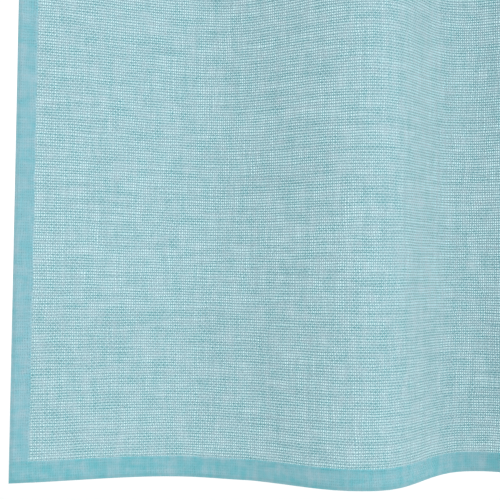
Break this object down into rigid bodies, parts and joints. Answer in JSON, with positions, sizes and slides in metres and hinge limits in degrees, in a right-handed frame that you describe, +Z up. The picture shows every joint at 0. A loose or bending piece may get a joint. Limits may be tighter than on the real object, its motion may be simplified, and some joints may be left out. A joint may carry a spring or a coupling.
{
  "type": "sheer curtain panel",
  "caption": "Hung sheer curtain panel of open-weave cloth with narrow turned hems, falling from its heading in soft, uneven folds.",
  "frame": {"origin": "middle of the heading, on the panel's top edge", "axes": "+X along the heading, +Z up, and the front of the curtain faces -Y"},
  "size_m": [1.1978, 0.0597, 2.5],
  "materials": {
    "cloth": "matt open plain weave with uneven yarns, light turquoise; the turned hems look denser"
  },
  "bodies": {
    "root": {"sheer_panel": "cloth"}
  },
  "joints": []
}
